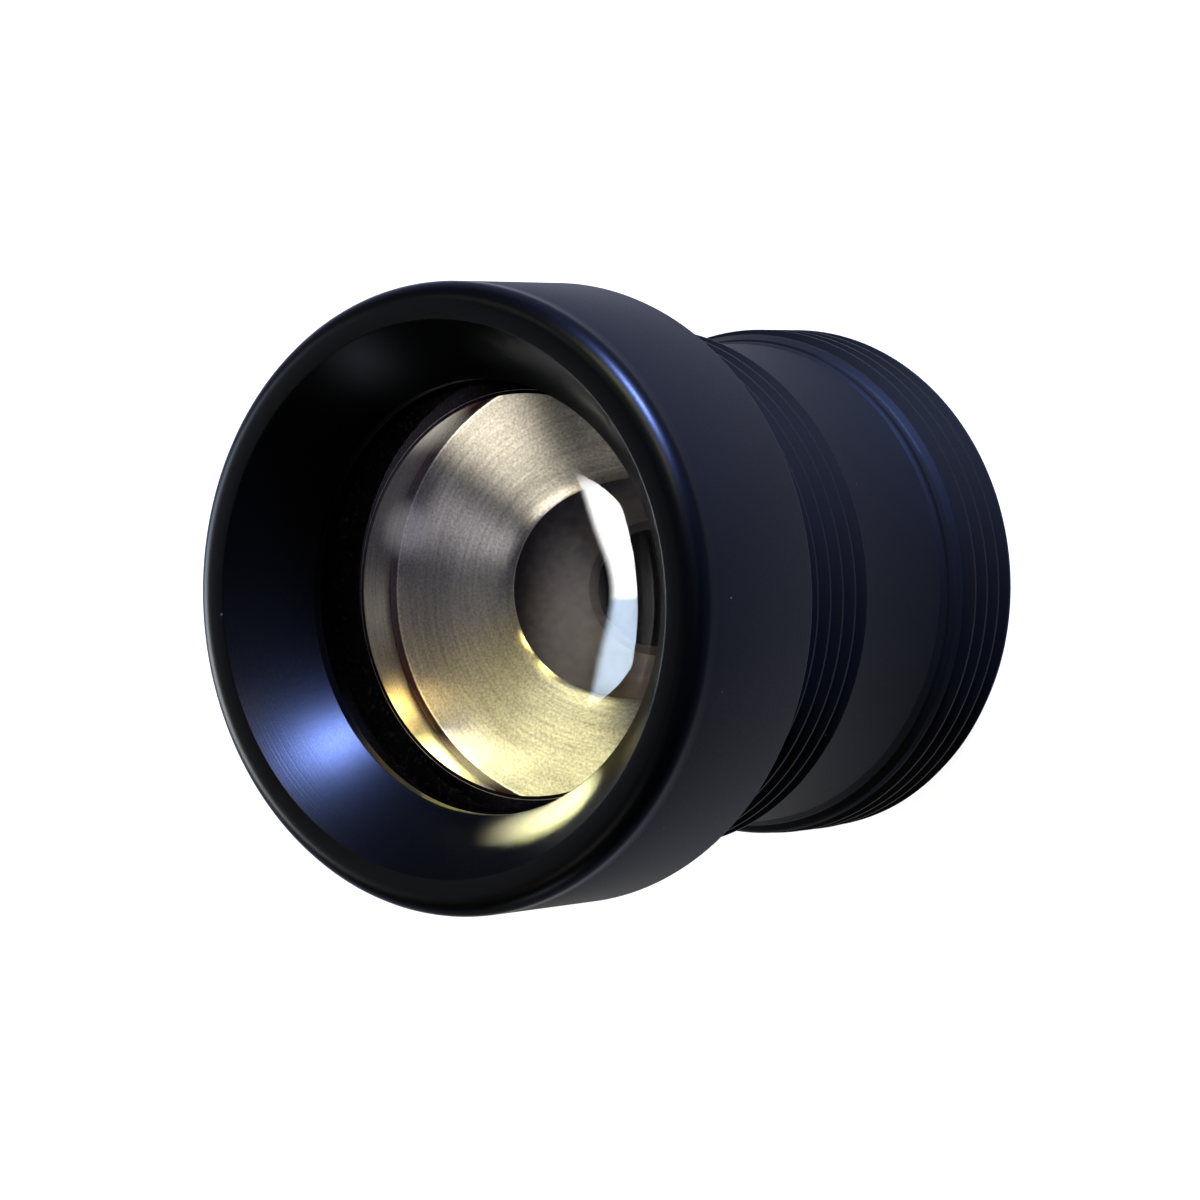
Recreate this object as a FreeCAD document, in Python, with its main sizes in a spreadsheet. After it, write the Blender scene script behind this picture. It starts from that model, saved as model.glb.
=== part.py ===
"""Board camera lens with an M12 x 0.5 mounting thread, as a parametric assembly in millimetres.

Nearly every piece is turned, so each one is a named half section that is revolved about the
optical axis. The lens stands on its rear end: Z runs along the optical axis, 0 is the rear face
and the light comes in from the top.
"""

import FreeCAD, Part
import math
import os
import Sketcher

SIZES = {
    # Outside of the lens
    "overall_length": 14.5,
    "thread_diameter": 12.0,
    "neck_depth": 0.35,
    "rear_thread_length": 2.9,
    "neck_length": 3.15,
    "thread_runout": 0.7,
    "neck_shoulder": 0.25,
    "end_chamfer": 0.35,
    # Hood that screws over the front end of the barrel
    "head_step": 1.0,
    "head_length": 4.4,
    "head_rounding": 0.5,
    "head_back_chamfer": 0.15,
    "rim_width": 0.85,
    "clamp_width": 0.26,
    "dish_depth": 1.66,
    "dish_land": 0.244,
    "hood_thread_step": 0.25,
    "hood_thread_clearance": 0.03,
    "hood_thread_chamfer": 0.2,
    "hood_clamp_gap": 0.2,
    "hood_back_gap": 0.1,
    "shoulder_chamfer": 0.15,
    # Stepped bore of the barrel
    "front_wall": 0.63,
    "rear_wall": 1.13,
    "glass_clearance": 0.02,
    "web_thickness": 0.5,
    "web_opening": 6.0,
    "bore_chamfer": 0.1,
    "glass_bevel": 0.1,
    # Front element
    "front_element_front_radius": 20.0,
    "front_element_rear_radius": 30.0,
    "front_element_edge": 2.135,
    # Front spacer and stop funnel
    "front_spacer_wall": 0.77,
    "front_spacer_length": 1.664,
    "front_spacer_edge_break": 0.05,
    "funnel_groove_width": 0.06,
    "funnel_groove_depth": 0.08,
    "funnel_ledge": 0.15,
    "funnel_depth": 0.45,
    "funnel_hole": 3.8,
    "funnel_lip": 0.08,
    "funnel_thickness": 1.45,
    "funnel_relief_diameter": 7.0,
    # Aperture disc
    "aperture_diameter": 3.0,
    "aperture_disc_thickness": 0.1,
    # Second element, hollow on both faces
    "second_element_front_radius": 12.0,
    "second_element_rear_radius": 14.0,
    "second_element_thickness": 0.8,
    "second_element_polish_diameter": 6.8,
    # Cemented pair
    "second_spacer_margin": 0.1,
    "second_spacer_length": 0.5,
    "flint_front_radius": 25.0,
    "flint_thickness": 0.7,
    "cement_radius": 11.0,
    "crown_edge": 0.228,
    "crown_rear_radius": 14.0,
    # Rear element
    "rear_spacer_wall": 0.6,
    "rear_spacer_length": 0.74,
    "rear_element_edge": 0.24,
    "rear_element_rear_radius": 15.0,
    # Rear retaining ring
    "ring_thread_step": 0.2,
    "ring_thread_clearance": 0.02,
    "ring_thread_lead": 0.25,
    "ring_clamp_width": 0.9,
    "ring_mouth_flare": 0.5,
    "ring_length": 0.7,
    "ring_land": 0.23,
    "spanner_slot_width": 0.8,
    "spanner_slot_depth": 0.35,
}

document = FreeCAD.newDocument("BoardLens")
sheet = document.addObject("Spreadsheet::Sheet", "Sizes")
for row, (alias, value) in enumerate(SIZES.items(), start=1):
    sheet.set(f"A{row}", alias)
    sheet.set(f"B{row}", str(value))
    sheet.setAlias(f"B{row}", alias)
document.recompute()


def size(alias):
    """Expression for one size of the sheet."""
    return f"Sizes.{alias}"


def half(alias):
    """Expression for a radius, from a diameter of the sheet."""
    return f"Sizes.{alias} / 2"


def sag(curve, radius):
    """Expression for how far a spherical face falls away at a distance from the axis."""
    return f"(Sizes.{curve} - sqrt(Sizes.{curve}^2 - ({radius})^2))"


# Radii that the pieces share, worked from the mounting thread inwards.
THREAD = half("thread_diameter")
NECK = f"{THREAD} - Sizes.neck_depth"
HOOD_THREAD = f"{THREAD} - Sizes.hood_thread_step"
HOOD_THREAD_BORE = f"{HOOD_THREAD} + Sizes.hood_thread_clearance"
FRONT_BORE = f"{HOOD_THREAD} - Sizes.front_wall"
FRONT_GLASS = f"{FRONT_BORE} - Sizes.glass_clearance"
DISH_FLOOR_EDGE = f"{FRONT_GLASS} - Sizes.clamp_width"
HEAD = f"{THREAD} + Sizes.head_step"
DISH_MOUTH = f"{HEAD} - Sizes.rim_width"
FRONT_SPACER_BORE = f"{FRONT_GLASS} - Sizes.front_spacer_wall"
FUNNEL_MOUTH = f"{FRONT_SPACER_BORE} - Sizes.funnel_ledge"
REAR_BORE = f"{NECK} - Sizes.rear_wall"
REAR_GLASS = f"{REAR_BORE} - Sizes.glass_clearance"
SECOND_POLISH = half("second_element_polish_diameter")
SECOND_SPACER_BORE = f"{SECOND_POLISH} + Sizes.second_spacer_margin"
REAR_SPACER_BORE = f"{REAR_GLASS} - Sizes.rear_spacer_wall"
RING_THREAD = f"{REAR_GLASS} + Sizes.ring_thread_step"
RING_THREAD_BORE = f"{RING_THREAD} + Sizes.ring_thread_clearance"
RING_BORE = f"{REAR_GLASS} - Sizes.ring_clamp_width"
RING_MOUTH = f"{RING_BORE} + Sizes.ring_mouth_flare"

# Heights of the faces that the pieces share, worked from the front rim down to the rear.
FRONT_RIM = size("overall_length")
DISH_FLOOR = f"{FRONT_RIM} - Sizes.dish_depth"
CLAMP_FACE = f"{DISH_FLOOR} - Sizes.dish_land"
BARREL_RIM = f"{CLAMP_FACE} - Sizes.hood_clamp_gap"
HEAD_BACK = f"{FRONT_RIM} - Sizes.head_length"

FRONT_GLASS_TOP = f"{CLAMP_FACE} + {sag('front_element_front_radius', DISH_FLOOR_EDGE)}"
FRONT_POLISH = f"{FRONT_GLASS} - Sizes.glass_bevel"
FRONT_TOP_EDGE = f"{FRONT_GLASS_TOP} - {sag('front_element_front_radius', FRONT_POLISH)}"
FRONT_BOTTOM_EDGE = f"{FRONT_TOP_EDGE} - Sizes.front_element_edge - 2 * Sizes.glass_bevel"
FRONT_GLASS_BOTTOM = f"{FRONT_BOTTOM_EDGE} - {sag('front_element_rear_radius', FRONT_POLISH)}"
SPACER_TOP = f"{FRONT_GLASS_BOTTOM} + {sag('front_element_rear_radius', FRONT_SPACER_BORE)}"
FUNNEL_TOP = f"{SPACER_TOP} - Sizes.front_spacer_length"
FUNNEL_BOTTOM = f"{FUNNEL_TOP} - Sizes.funnel_thickness"
WEB_TOP = f"{FUNNEL_BOTTOM} - Sizes.aperture_disc_thickness"
WEB_BOTTOM = f"{WEB_TOP} - Sizes.web_thickness"

SECOND_TOP_VERTEX = f"{WEB_BOTTOM} - {sag('second_element_front_radius', SECOND_POLISH)}"
SECOND_BOTTOM_VERTEX = f"{SECOND_TOP_VERTEX} - Sizes.second_element_thickness"
SECOND_BOTTOM = f"{SECOND_BOTTOM_VERTEX} - {sag('second_element_rear_radius', SECOND_POLISH)}"
SECOND_SPACER_BOTTOM = f"{SECOND_BOTTOM} - Sizes.second_spacer_length"

FLINT_VERTEX = f"{SECOND_SPACER_BOTTOM} + {sag('flint_front_radius', SECOND_SPACER_BORE)}"
CEMENT_VERTEX = f"{FLINT_VERTEX} - Sizes.flint_thickness"
REAR_POLISH = f"{REAR_GLASS} - Sizes.glass_bevel"
CEMENT_EDGE = f"{CEMENT_VERTEX} - {sag('cement_radius', REAR_GLASS)}"
CROWN_EDGE = f"{CEMENT_EDGE} - Sizes.crown_edge - Sizes.glass_bevel"
CROWN_VERTEX = f"{CROWN_EDGE} - {sag('crown_rear_radius', REAR_POLISH)}"
REAR_SPACER_TOP = f"{CROWN_VERTEX} + {sag('crown_rear_radius', REAR_SPACER_BORE)}"
REAR_SPACER_BOTTOM = f"{REAR_SPACER_TOP} - Sizes.rear_spacer_length"
REAR_GLASS_EDGE = f"{REAR_SPACER_BOTTOM} - Sizes.rear_element_edge - Sizes.glass_bevel"
REAR_GLASS_VERTEX = f"{REAR_GLASS_EDGE} - {sag('rear_element_rear_radius', REAR_POLISH)}"
RING_TOP = f"{REAR_GLASS_VERTEX} + {sag('rear_element_rear_radius', RING_BORE)}"
RING_BOTTOM = f"{RING_TOP} - Sizes.ring_length"


def origin_plane(body, role):
    """One of the body's own origin planes."""
    return next(item for item in body.Origin.OriginFeatures if item.Role == role)


def arc_about_axis(start, end):
    """Arc from start to end with its centre on the axis, and whether it runs backwards."""
    (start_r, start_z), (end_r, end_z) = start, end
    if math.isclose(start_z, end_z):
        raise ValueError("a spherical face needs some height")
    centre_z = (end_r**2 + end_z**2 - start_r**2 - start_z**2) / (2 * (end_z - start_z))
    centre = FreeCAD.Vector(0, centre_z, 0)
    radius = math.hypot(start_r, start_z - centre_z)
    circle = Part.Circle(centre, FreeCAD.Vector(0, 0, 1), radius)
    first = math.atan2(start_z - centre_z, start_r)
    last = math.atan2(end_z - centre_z, end_r)
    low, high = min(first, last), max(first, last)
    return Part.ArcOfCircle(circle, low, high), first > last


def turned_piece(label, section):
    """Body revolved about the optical axis from a closed half section.

    Each entry of the section is a corner: its name, its radius and its height as expressions of
    the sheet, and the word "sphere" where a spherical face leads from it to the next corner.
    """
    body = document.addObject("PartDesign::Body", label)
    body.Label = label
    sketch = body.newObject("Sketcher::SketchObject", label + "_section")
    sketch.AttachmentSupport = (origin_plane(body, "XZ_Plane"), "")
    sketch.MapMode = "FlatFace"

    names = [corner[0] for corner in section]
    radii = [corner[1] for corner in section]
    heights = [corner[2] for corner in section]
    spherical = [len(corner) > 3 for corner in section]
    places = [
        (float(sketch.evalExpression(radius)), float(sketch.evalExpression(height)))
        for radius, height in zip(radii, heights)
    ]

    starts = []
    ends = []
    for index, place in enumerate(places):
        following = places[(index + 1) % len(places)]
        if spherical[index]:
            arc, backwards = arc_about_axis(place, following)
            edge = sketch.addGeometry(arc, False)
            starts.append((edge, 2 if backwards else 1))
            ends.append((edge, 1 if backwards else 2))
            sketch.addConstraint(Sketcher.Constraint("PointOnObject", edge, 3, -2))
        else:
            line = Part.LineSegment(FreeCAD.Vector(*place, 0), FreeCAD.Vector(*following, 0))
            edge = sketch.addGeometry(line, False)
            starts.append((edge, 1))
            ends.append((edge, 2))

    for index, name in enumerate(names):
        sketch.addConstraint(Sketcher.Constraint("Coincident", *ends[index - 1], *starts[index]))
        for axis, kind, expression in ((-2, "DistanceX", radii[index]), (-1, "DistanceY", heights[index])):
            if expression == "0":
                sketch.addConstraint(Sketcher.Constraint("PointOnObject", *starts[index], axis))
                continue
            value = places[index][0] if kind == "DistanceX" else places[index][1]
            number = sketch.addConstraint(Sketcher.Constraint(kind, -1, 1, *starts[index], value))
            what = "radius" if kind == "DistanceX" else "height"
            sketch.renameConstraint(number, f"{name}_{what}")
            sketch.setExpression(f"Constraints.{name}_{what}", expression)

    turning = body.newObject("PartDesign::Revolution", label + "_turning")
    turning.Profile = sketch
    turning.ReferenceAxis = (sketch, ["V_Axis"])
    turning.Angle = 360
    sketch.Visibility = False
    document.recompute()
    return body


def rim_edge(body, radius, height):
    """Name of the circular edge of the body's tip at a radius and a height."""
    tolerance = 1e-4
    wanted_radius = float(sheet.evalExpression(radius))
    wanted_height = float(sheet.evalExpression(height))
    for number, edge in enumerate(body.Tip.Shape.Edges, start=1):
        curve = edge.Curve
        if not isinstance(curve, Part.Circle):
            continue
        same_radius = abs(curve.Radius - wanted_radius) < tolerance
        same_height = abs(curve.Center.z - wanted_height) < tolerance
        if same_radius and same_height:
            return f"Edge{number}"
    raise RuntimeError(f"no rim of radius {radius} at {height}")


def build_hood():
    """Turned hood: a wide dish in front, a clamping face and a threaded skirt behind."""
    body = turned_piece("hood", [
        ("dish_mouth", DISH_MOUTH, FRONT_RIM),
        ("rim", HEAD, FRONT_RIM),
        ("back_chamfer", HEAD, f"{HEAD_BACK} + Sizes.head_back_chamfer"),
        ("back_face", f"{HEAD} - Sizes.head_back_chamfer", HEAD_BACK),
        ("skirt_mouth", f"{HOOD_THREAD_BORE} + Sizes.bore_chamfer", HEAD_BACK),
        ("skirt_chamfer", HOOD_THREAD_BORE, f"{HEAD_BACK} + Sizes.bore_chamfer"),
        ("skirt_root", HOOD_THREAD_BORE, CLAMP_FACE),
        ("clamp_edge", DISH_FLOOR_EDGE, CLAMP_FACE),
        ("dish_floor", DISH_FLOOR_EDGE, DISH_FLOOR),
    ])
    turned = body.Tip
    front_edge = rim_edge(body, HEAD, FRONT_RIM)
    rounding = body.newObject("PartDesign::Fillet", "hood_rounding")
    rounding.Base = (turned, [front_edge])
    rounding.setExpression("Radius", size("head_rounding"))
    return body


def build_barrel():
    """Turned barrel: two stretches of mounting thread, a relieved neck and a stepped bore."""
    shoulder = f"{HEAD_BACK} - Sizes.hood_back_gap"
    neck_bottom = size("rear_thread_length")
    neck_top = f"{neck_bottom} + Sizes.neck_length"
    thread_bore_top = f"{RING_TOP} + Sizes.ring_thread_lead"
    return turned_piece("barrel", [
        ("rear_mouth", f"{RING_THREAD_BORE} + Sizes.bore_chamfer", "0"),
        ("rear_face", f"{THREAD} - Sizes.end_chamfer", "0"),
        ("rear_crest", THREAD, size("end_chamfer")),
        ("runout", THREAD, f"{neck_bottom} - Sizes.thread_runout"),
        ("neck_bottom", NECK, neck_bottom),
        ("neck_top", NECK, neck_top),
        ("front_crest", THREAD, f"{neck_top} + Sizes.neck_shoulder"),
        ("shoulder_crest", THREAD, f"{shoulder} - Sizes.shoulder_chamfer"),
        ("shoulder_face", f"{THREAD} - Sizes.shoulder_chamfer", shoulder),
        ("spigot_root", HOOD_THREAD, shoulder),
        ("spigot_top", HOOD_THREAD, f"{BARREL_RIM} - Sizes.hood_thread_chamfer"),
        ("front_rim", f"{HOOD_THREAD} - Sizes.hood_thread_chamfer", BARREL_RIM),
        ("bore_mouth", f"{FRONT_BORE} + Sizes.bore_chamfer", BARREL_RIM),
        ("bore_start", FRONT_BORE, f"{BARREL_RIM} - Sizes.bore_chamfer"),
        ("bore_floor", FRONT_BORE, WEB_TOP),
        ("web_top", half("web_opening"), WEB_TOP),
        ("web_bottom", half("web_opening"), WEB_BOTTOM),
        ("rear_bore_floor", REAR_BORE, WEB_BOTTOM),
        ("rear_bore_end", REAR_BORE, thread_bore_top),
        ("ring_thread_start", RING_THREAD_BORE, thread_bore_top),
        ("rear_chamfer", RING_THREAD_BORE, size("bore_chamfer")),
    ])


def build_front_element():
    """Thick biconvex front element, ground to a cylinder with a small bevel at each edge."""
    return turned_piece("front_element", [
        ("front_vertex", "0", FRONT_GLASS_TOP, "sphere"),
        ("front_bevel", FRONT_POLISH, FRONT_TOP_EDGE),
        ("front_edge", FRONT_GLASS, f"{FRONT_TOP_EDGE} - Sizes.glass_bevel"),
        ("rear_edge", FRONT_GLASS, f"{FRONT_BOTTOM_EDGE} + Sizes.glass_bevel"),
        ("rear_bevel", FRONT_POLISH, FRONT_BOTTOM_EDGE, "sphere"),
        ("rear_vertex", "0", FRONT_GLASS_BOTTOM),
    ])


def build_front_spacer():
    """Bright turned ring that holds the front element off the stop funnel."""
    return turned_piece("front_spacer", [
        ("top_bore", FRONT_SPACER_BORE, SPACER_TOP),
        ("top_chamfer", f"{FRONT_GLASS} - Sizes.bore_chamfer", SPACER_TOP),
        ("top_outer", FRONT_GLASS, f"{SPACER_TOP} - Sizes.bore_chamfer"),
        ("bottom_outer", FRONT_GLASS, FUNNEL_TOP),
        ("bottom_bore", f"{FRONT_SPACER_BORE} + Sizes.front_spacer_edge_break", FUNNEL_TOP),
        ("bottom_edge", FRONT_SPACER_BORE, f"{FUNNEL_TOP} + Sizes.front_spacer_edge_break"),
    ])


def build_stop_funnel():
    """Bright turned plate with a shallow dish in front and a relieved hole in its middle."""
    hole = half("funnel_hole")
    groove_floor = f"{FUNNEL_TOP} - Sizes.funnel_groove_depth"
    dish_floor = f"{FUNNEL_TOP} - Sizes.funnel_depth"
    return turned_piece("stop_funnel", [
        ("rim_outer", FRONT_GLASS, FUNNEL_TOP),
        ("rear_outer", FRONT_GLASS, FUNNEL_BOTTOM),
        ("relief_mouth", half("funnel_relief_diameter"), FUNNEL_BOTTOM),
        ("hole_rear", hole, f"{dish_floor} - Sizes.funnel_lip"),
        ("hole_front", hole, dish_floor),
        ("dish_mouth", FUNNEL_MOUTH, FUNNEL_TOP),
        ("groove_inner", f"{FUNNEL_MOUTH} + Sizes.funnel_groove_width", groove_floor),
        ("groove_outer", f"{FUNNEL_MOUTH} + 2 * Sizes.funnel_groove_width", FUNNEL_TOP),
    ])


def build_aperture_disc():
    """Thin blackened disc whose hole sets the width of the light path."""
    hole = half("aperture_diameter")
    return turned_piece("aperture_disc", [
        ("top_outer", FRONT_GLASS, FUNNEL_BOTTOM),
        ("bottom_outer", FRONT_GLASS, WEB_TOP),
        ("hole_bottom", hole, WEB_TOP),
        ("hole_top", hole, FUNNEL_BOTTOM),
    ])


def build_second_element():
    """Biconcave element with a flat annular seat ground on each face."""
    return turned_piece("second_element", [
        ("front_vertex", "0", SECOND_TOP_VERTEX, "sphere"),
        ("front_polish", SECOND_POLISH, WEB_BOTTOM),
        ("front_seat", REAR_POLISH, WEB_BOTTOM),
        ("front_edge", REAR_GLASS, f"{WEB_BOTTOM} - Sizes.glass_bevel"),
        ("rear_edge", REAR_GLASS, f"{SECOND_BOTTOM} + Sizes.glass_bevel"),
        ("rear_seat", REAR_POLISH, SECOND_BOTTOM),
        ("rear_polish", SECOND_POLISH, SECOND_BOTTOM, "sphere"),
        ("rear_vertex", "0", SECOND_BOTTOM_VERTEX),
    ])


def build_second_spacer():
    """Thin blackened ring between the second element and the cemented pair."""
    return turned_piece("second_spacer", [
        ("top_bore", SECOND_SPACER_BORE, SECOND_BOTTOM),
        ("top_outer", REAR_GLASS, SECOND_BOTTOM),
        ("bottom_outer", REAR_GLASS, SECOND_SPACER_BOTTOM),
        ("bottom_bore", SECOND_SPACER_BORE, SECOND_SPACER_BOTTOM),
    ])


def build_flint_element():
    """Front half of the cemented pair, a weak convex face over a hollow cemented one."""
    front_edge = f"{FLINT_VERTEX} - {sag('flint_front_radius', REAR_POLISH)}"
    return turned_piece("flint_element", [
        ("front_vertex", "0", FLINT_VERTEX, "sphere"),
        ("front_bevel", REAR_POLISH, front_edge),
        ("front_edge", REAR_GLASS, f"{front_edge} - Sizes.glass_bevel"),
        ("cement_edge", REAR_GLASS, CEMENT_EDGE, "sphere"),
        ("cement_vertex", "0", CEMENT_VERTEX),
    ])


def build_crown_element():
    """Rear half of the cemented pair, biconvex, filling the hollow of the other half."""
    return turned_piece("crown_element", [
        ("cement_vertex", "0", CEMENT_VERTEX, "sphere"),
        ("cement_edge", REAR_GLASS, CEMENT_EDGE),
        ("rear_edge", REAR_GLASS, f"{CROWN_EDGE} + Sizes.glass_bevel"),
        ("rear_bevel", REAR_POLISH, CROWN_EDGE, "sphere"),
        ("rear_vertex", "0", CROWN_VERTEX),
    ])


def build_rear_spacer():
    """Blackened ring between the cemented pair and the rear element."""
    return turned_piece("rear_spacer", [
        ("top_bore", REAR_SPACER_BORE, REAR_SPACER_TOP),
        ("top_chamfer", f"{REAR_GLASS} - Sizes.bore_chamfer", REAR_SPACER_TOP),
        ("top_outer", REAR_GLASS, f"{REAR_SPACER_TOP} - Sizes.bore_chamfer"),
        ("bottom_outer", REAR_GLASS, REAR_SPACER_BOTTOM),
        ("bottom_bore", REAR_SPACER_BORE, REAR_SPACER_BOTTOM),
    ])


def build_rear_element():
    """Plano-convex rear element, its flat face towards the cemented pair."""
    return turned_piece("rear_element", [
        ("front_centre", "0", REAR_SPACER_BOTTOM),
        ("front_edge", REAR_GLASS, REAR_SPACER_BOTTOM),
        ("rear_edge", REAR_GLASS, f"{REAR_GLASS_EDGE} + Sizes.glass_bevel"),
        ("rear_bevel", REAR_POLISH, REAR_GLASS_EDGE, "sphere"),
        ("rear_vertex", "0", REAR_GLASS_VERTEX),
    ])


def build_rear_retaining_ring():
    """Threaded ring that clamps the rear stack, with two slots for a pin spanner."""
    body = turned_piece("rear_retaining_ring", [
        ("top_bore", RING_BORE, RING_TOP),
        ("top_chamfer", f"{RING_THREAD} - Sizes.bore_chamfer", RING_TOP),
        ("top_outer", RING_THREAD, f"{RING_TOP} - Sizes.bore_chamfer"),
        ("bottom_outer", RING_THREAD, RING_BOTTOM),
        ("mouth", RING_MOUTH, RING_BOTTOM),
        ("bore_start", RING_BORE, f"{RING_TOP} - Sizes.ring_land"),
    ])
    slots = body.newObject("Sketcher::SketchObject", "spanner_slots_section")
    slots.AttachmentSupport = (origin_plane(body, "XY_Plane"), "")
    slots.MapMode = "FlatFace"
    slots.setExpression("AttachmentOffset.Base.z", RING_BOTTOM)
    cut_width = size("spanner_slot_width")
    cut_length = f"2 * ({RING_THREAD}) + {cut_width}"
    reach = float(slots.evalExpression(cut_length)) / 2
    wide = float(slots.evalExpression(cut_width)) / 2
    corners = [(-reach, -wide), (reach, -wide), (reach, wide), (-reach, wide)]
    for start, end in zip(corners, corners[1:] + corners[:1]):
        slots.addGeometry(Part.LineSegment(FreeCAD.Vector(*start, 0), FreeCAD.Vector(*end, 0)), False)
    for edge in range(4):
        slots.addConstraint(Sketcher.Constraint("Coincident", edge, 2, (edge + 1) % 4, 1))
    for edge, direction in enumerate(("Horizontal", "Vertical", "Horizontal", "Vertical")):
        slots.addConstraint(Sketcher.Constraint(direction, edge))
    slots.addConstraint(Sketcher.Constraint("Symmetric", 0, 1, 2, 1, -1, 1))
    width = slots.addConstraint(Sketcher.Constraint("DistanceY", 1, 1, 1, 2, 2 * wide))
    length = slots.addConstraint(Sketcher.Constraint("DistanceX", 0, 1, 0, 2, 2 * reach))
    slots.setExpression(f"Constraints[{width}]", cut_width)
    slots.setExpression(f"Constraints[{length}]", cut_length)
    cut = body.newObject("PartDesign::Pocket", "spanner_slots")
    cut.Profile = slots
    cut.Reversed = True
    cut.setExpression("Length", size("spanner_slot_depth"))
    slots.Visibility = False
    return body


PIECES = [
    build_hood(),
    build_barrel(),
    build_front_element(),
    build_front_spacer(),
    build_stop_funnel(),
    build_aperture_disc(),
    build_second_element(),
    build_second_spacer(),
    build_flint_element(),
    build_crown_element(),
    build_rear_spacer(),
    build_rear_element(),
    build_rear_retaining_ring(),
]
document.recompute()

for item in document.Objects:
    if "Invalid" in item.State or "Error" in item.State:
        raise RuntimeError(f"{item.Label} did not recompute: {item.State}")
for piece in PIECES:
    if piece.Shape.isNull() or not piece.Shape.isValid() or len(piece.Shape.Solids) != 1:
        raise RuntimeError(f"{piece.Label} is not one valid solid")

os.makedirs("parts", exist_ok=True)
for piece in PIECES:
    piece.Shape.exportStep(f"parts/{piece.Label}.step")
    box = piece.Shape.BoundBox
    print(f"{piece.Label:20s} {piece.Shape.Volume:9.3f} mm3   z {box.ZMin:6.3f} to {box.ZMax:6.3f}")
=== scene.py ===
"""Board camera lens with an M12 x 0.5 thread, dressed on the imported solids.

Lengths in the sections are millimetres, and MM turns them into the metres of the frame.
The lens stands on its rear end, with the optical axis along Z.
"""

import math

import bmesh
import bpy
from mathutils import Matrix, Vector


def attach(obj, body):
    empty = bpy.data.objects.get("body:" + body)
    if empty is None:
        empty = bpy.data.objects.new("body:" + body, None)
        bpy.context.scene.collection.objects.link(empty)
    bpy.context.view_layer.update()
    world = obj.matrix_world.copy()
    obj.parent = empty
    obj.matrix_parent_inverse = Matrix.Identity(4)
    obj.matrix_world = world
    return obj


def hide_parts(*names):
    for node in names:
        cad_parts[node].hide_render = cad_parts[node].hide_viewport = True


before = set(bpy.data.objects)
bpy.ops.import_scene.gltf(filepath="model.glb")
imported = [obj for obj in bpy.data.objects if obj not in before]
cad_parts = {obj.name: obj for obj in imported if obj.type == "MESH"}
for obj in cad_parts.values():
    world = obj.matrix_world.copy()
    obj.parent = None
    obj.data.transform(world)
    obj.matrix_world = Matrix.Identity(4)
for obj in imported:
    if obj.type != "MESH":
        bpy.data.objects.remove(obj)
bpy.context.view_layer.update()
MM = 0.001


# Camera
# A long lens close to the table looks down on the hood from its side. It is rolled, so that the
# optical axis lies across the picture.
CAMERA_PLACE = Vector((3.1885, -71.6917, 106.3187)) * MM
PICTURE_RIGHT = Vector((-0.0205, -0.8069, -0.5904))
PICTURE_UP = Vector((0.9994, 0.0, -0.0347))
FOCAL_LENGTH = 159.43
SENSOR = 36
BRIGHTEST_INDIRECT = 100.0


def facing(place, right, up, back):
    """Matrix that puts a thing at a place, with its own axes along three directions."""
    return Matrix.Translation(place) @ Matrix((right, up, back)).transposed().to_4x4()


camera_data = bpy.data.cameras.new("camera")
camera_data.sensor_width = SENSOR
camera_data.lens = FOCAL_LENGTH
camera_data.clip_start = MM
camera_data.clip_end = 5
camera = bpy.data.objects.new("camera", camera_data)
picture_back = PICTURE_RIGHT.cross(PICTURE_UP).normalized()
camera.matrix_world = facing(CAMERA_PLACE, PICTURE_RIGHT, PICTURE_UP, picture_back)
bpy.context.scene.collection.objects.link(camera)
bpy.context.scene.camera = camera
bpy.context.scene.view_settings.view_transform = "Standard"
# The window that the front glass mirrors is brighter than the usual limit on indirect light
bpy.context.scene.cycles.sample_clamp_indirect = BRIGHTEST_INDIRECT


# Floor and room
# A pale table top in a dark room. A patch of it round the lens is lit from below, so that it
# shows white behind the lens and in what reflects it, and still takes the lens's soft shadow.
FLOOR_REACH = 400
FLOOR_COLOUR = (0.16, 0.16, 0.17, 1)
FLOOR_ROUGHNESS = 0.9
GLOW_LEVEL = 0.96
GLOW_COLOUR = (1, 1, 1, 1)
GLOW_CENTRE = (-0.5, 6.5)
GLOW_REACH = (18.0, 22.0)
GLOW_FADE = 0.10
ROOM_COLOUR = (0.75, 0.85, 1.0, 1)
ROOM_LEVEL = 0.03


def new_material(name, **values):
    """Material, its node tree and its Principled shader, whose sockets take the named values."""
    material = bpy.data.materials.new(name)
    material.use_nodes = True
    shader = material.node_tree.nodes["Principled BSDF"]
    for key, value in values.items():
        shader.inputs[key.replace("_", " ")].default_value = value
    return material, material.node_tree, shader


def add(tree, kind, settings=None, **inputs):
    """New node in a tree: settings are its own properties, inputs are values or sockets.

    An input goes by its label, with _ for each space, or by i and its number.
    """
    node = tree.nodes.new(kind)
    for key, value in (settings or {}).items():
        setattr(node, key, value)
    for key, value in inputs.items():
        label = int(key[1:]) if key[1:].isdigit() else key.replace("_", " ")
        socket = node.inputs[label]
        if isinstance(value, bpy.types.NodeSocket):
            tree.links.new(value, socket)
        else:
            socket.default_value = value
    return node


def math_node(tree, operation, first, second=0.0, third=0.0, clamp=False):
    """Output of a new Math node, whose inputs are values or sockets."""
    node = tree.nodes.new("ShaderNodeMath")
    node.operation = operation
    node.use_clamp = clamp
    for index, value in enumerate((first, second, third)):
        if isinstance(value, bpy.types.NodeSocket):
            tree.links.new(value, node.inputs[index])
        else:
            node.inputs[index].default_value = value
    return node.outputs[0]


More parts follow.
